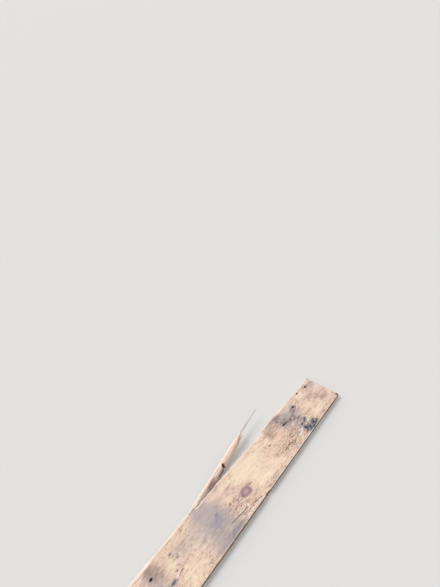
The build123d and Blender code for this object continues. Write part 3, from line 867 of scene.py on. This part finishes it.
# Towards the tear each fibre lets go at its own place and the section shrinks to the splinter.
length_left = 1 - np.clip((STRIP_TEAR - stations) / (STRIP_TEAR - STRIP_TIP), 0, 1)
round_at = np.arctan2(ring_up[:, :1] - TONGUE_MID, ring_across[:, :1] - FACE - 2)
splinter_mid = FACE + TONGUE_OUT - 5.6 + 3.0 * (1 - length_left)
splinter_across = splinter_mid + (4.8 * length_left ** 0.7 + 0.4) * np.cos(round_at)
splinter_up = TONGUE_MID + (3.3 * length_left ** 0.6 + 0.3) * np.sin(round_at)
lets_go = STRIP_TEAR + TEAR_SLANT * 0.5 - TEAR_SLANT * np.clip((ring_across - FACE + 8) / 20, 0, 1)
lets_go = lets_go + 7 * drift(51, (rows, 2.2)) + 6 * drift(52, (rows, 1.0))
gone = eased(np.clip((lets_go + 8 - stations) / 30, 0, 1))
rest_across = ring_across + (splinter_across - ring_across) * gone
rest_up = ring_up + (splinter_up - ring_up) * gone
blunt = 0.15 + 0.85 * np.clip((stations - STRIP_TIP) / 8, 0, 1)
rest_across = splinter_mid + (rest_across - splinter_mid) * blunt
rest_up = TONGUE_MID + (rest_up - TONGUE_MID) * blunt
out, lift = sprung(stations)
strip_points = strip.points(
    stations, rest_across, rest_up, moved=(stations, rest_across + out, rest_up + lift),
    fresh=np.clip(np.maximum(ring_fresh, painted_light_on_break) * (1 - 0.85 * gone) - rust - bruise - crevice_shade - grey_root,
                  0, 1),
    grime=np.clip(ring_grime * (1 - gone) + 0.5 * rust + 0.95 * crevice_shade, 0, 0.95), iron=rust, weather=grey_root,
    mauve=0.8 * bruise + 0.4 * gone, damp=0.85 * gone + 1.3 * damp_root, rosy=ring_rosy,
    bleach=np.maximum(ring_nose_highlight * (1 - gone), 0.54 * gone) + chipped + painted_light_on_break)
strip.weave(np.concatenate([strip_points, strip_points[:1]]))
strip.faces += [strip_points[:, 0].tolist(), strip_points[::-1, -1].tolist()]
torn_strip = strip.build("torn_strip", 38)
torn_strip.data.materials.append(pine)
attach(torn_strip, "root")
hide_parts("floorboard")


# Loose splinters
# Slivers of cream inner wood that still cling to both sides of the break, to the torn end of
# the strip and in the broken upper lip. Each is held at its thick end and points along the grain.

slivers = Shell()
rng = np.random.RandomState(8)


def sliver(along, across, up, length, thick, out=0.0, rise=0.0, on_strip=False):
    """One tapering sliver; a negative length points towards the whole end."""
    share = np.array([0.0, 0.4, 0.75, 1.0])
    turn = np.linspace(0, 2 * np.pi, 4, endpoint=False)[:, None] + rng.uniform(0, 1.5)
    half = thick / 2 * np.array([1.0, 0.8, 0.5, 0.08])
    at = along - length * share
    side = across + out * share ** 1.4 + half * np.cos(turn) * 1.4
    level = up + rise * share ** 1.4 + half * np.sin(turn)
    shift = sprung(at) if on_strip else (0.0, 0.0)
    rows = slivers.points(at, side, level, fresh=0.9, moved=(at, side + shift[0], level + shift[1]))
    slivers.weave(np.concatenate([rows, rows[:1]]))
    slivers.faces += [rows[::-1, 0].tolist(), rows[:, -1].tolist()]


# On the board's side of the break, then on the strip's side, where none hides the dirt by the nail
for _ in range(70):
    spot, level = rng.uniform(12, 700), rng.uniform(1, 21.4)
    sliver(spot, float(broken_across(spot, level)) - 0.4, level, rng.choice([-1, 1]) * rng.uniform(7, 26),
           rng.uniform(0.5, 1.2), out=rng.uniform(0.5, 2.2), rise=rng.uniform(-0.6, 0.4))
for _ in range(46):
    spot, level = rng.uniform(445, 690), rng.uniform(1, 21.4)
    if SPLIT_NAIL - 10 < spot < SPLIT_NAIL + 40:
        continue
    sliver(spot, float(split_across(spot, level)) + CRACK_OPEN + 0.4, level, rng.uniform(7, 24),
           rng.uniform(0.5, 1.2), out=-rng.uniform(0.5, 2.0), rise=rng.uniform(-0.6, 0.8), on_strip=True)

# At the strip's torn end, where they turn in to the splinter
for _ in range(22):
    level = rng.uniform(2, 20)
    side = rng.uniform(FACE - 6, FACE - 1) if not 7.5 < level < 12.5 else rng.uniform(FACE - 5, FACE + 9)
    let_go = STRIP_TEAR + TEAR_SLANT * (0.5 - np.clip((side - FACE + 8) / 20, 0, 1))
    sliver(let_go + 20, side, level, rng.uniform(22, 58), rng.uniform(0.8, 2.4), out=rng.uniform(-1.0, 1.5),
           rise=(TONGUE_MID - level) * rng.uniform(0.0, 0.35), on_strip=True)

# The chip that stands up at the split's root, and the slivers in the break of the upper lip
sliver(690, FACE + 4.0, 16.2, -14, 9.0, out=1.5, rise=2.0, on_strip=True)
for spot in (510, 517, 524, 531):
    sliver(spot, 7.0, 20.6, rng.uniform(10, 20), 1.3, out=-rng.uniform(1, 3), rise=-0.6)
splinters = slivers.build("splinters", 60)
splinters.data.materials.append(pine)
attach(splinters, "root")
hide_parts("floorboard")


# Studio floor, light and camera
# A pale matt floor under the board, broad soft light from above the tongue side, and an even sky.

REACH = 80      # metres each way from the board, so that no view shows the floor's edge
floor_mesh = bpy.data.meshes.new("floor")
corners = [(-REACH, -REACH, 0), (REACH, -REACH, 0), (REACH, REACH, 0), (-REACH, REACH, 0)]
floor_mesh.from_pydata(corners, [], [(0, 1, 2, 3)])
floor = bpy.data.objects.new("floor", floor_mesh)
bpy.context.scene.collection.objects.link(floor)
matt = bpy.data.materials.new("matt_pale_floor")
matt.use_nodes = True
floor_shader = matt.node_tree.nodes["Principled BSDF"]
floor_shader.inputs["Base Color"].default_value = linear("#E4E2DE")
floor_shader.inputs["Roughness"].default_value = 0.9
floor.data.materials.append(matt)

SKY, BACKDROP = linear("#F6F7FA"), linear("#E2E0DC")
world = bpy.data.worlds.new("pale_sky")
bpy.context.scene.world = world
world.use_nodes = True
tree = world.node_tree
tree.nodes.clear()
seen = add_node("LightPath").outputs
showing = add_node("Math", [seen["Is Camera Ray"], seen["Is Glossy Ray"]], operation="MAXIMUM")
showing = add_node("Math", [showing, seen["Is Transmission Ray"]], operation="MAXIMUM")
glow = add_node("Background", {"Color": SKY, "Strength": 0.65})
backdrop = add_node("Background", {"Color": BACKDROP, "Strength": 1.0})
either = add_node("MixShader", [showing, glow, backdrop])
add_node("OutputWorld", {"Surface": either})

lamp = bpy.data.lights.new("soft_lamp", "SUN")
lamp.energy, lamp.angle = 1.45, math.radians(35)
lamp_object = bpy.data.objects.new("soft_lamp", lamp)
lamp_object.rotation_euler = Vector((0.35, -0.45, -0.85)).to_track_quat("-Z", "Y").to_euler()
bpy.context.scene.collection.objects.link(lamp_object)

# Hand-held height, looking down along the board from its groove side, tilted a little
CAMERA_ALONG, CAMERA_ACROSS, CAMERA_ABOVE = 1132.0, -440.0, 1434.0
FOCAL_PIXELS, PICTURE_TALL = 437.0, 587.0
camera = bpy.data.cameras.new("camera")
camera.sensor_width = 36.0
camera.lens = FOCAL_PIXELS / PICTURE_TALL * camera.sensor_width
camera_object = bpy.data.objects.new("camera", camera)
bpy.context.scene.collection.objects.link(camera_object)
heading, pitch, roll = math.radians(42.26), math.radians(37.28), math.radians(5.89)
ahead = Vector((math.cos(heading), math.sin(heading), 0))
right = Vector((math.sin(heading), -math.cos(heading), 0))
look = ahead * math.cos(pitch) - Vector((0, 0, 1)) * math.sin(pitch)
below = look.cross(right)
tilted_right = right * math.cos(roll) + below * math.sin(roll)
tilted_up = tilted_right.cross(look)
turned = Matrix((tilted_right, tilted_up, -look)).transposed().to_4x4()
turned.translation = place(np.array([CAMERA_ALONG, CAMERA_ACROSS, THICK + CAMERA_ABOVE]))
camera_object.matrix_world = turned
bpy.context.scene.camera = camera_object
bpy.context.scene.view_settings.view_transform = "Standard"
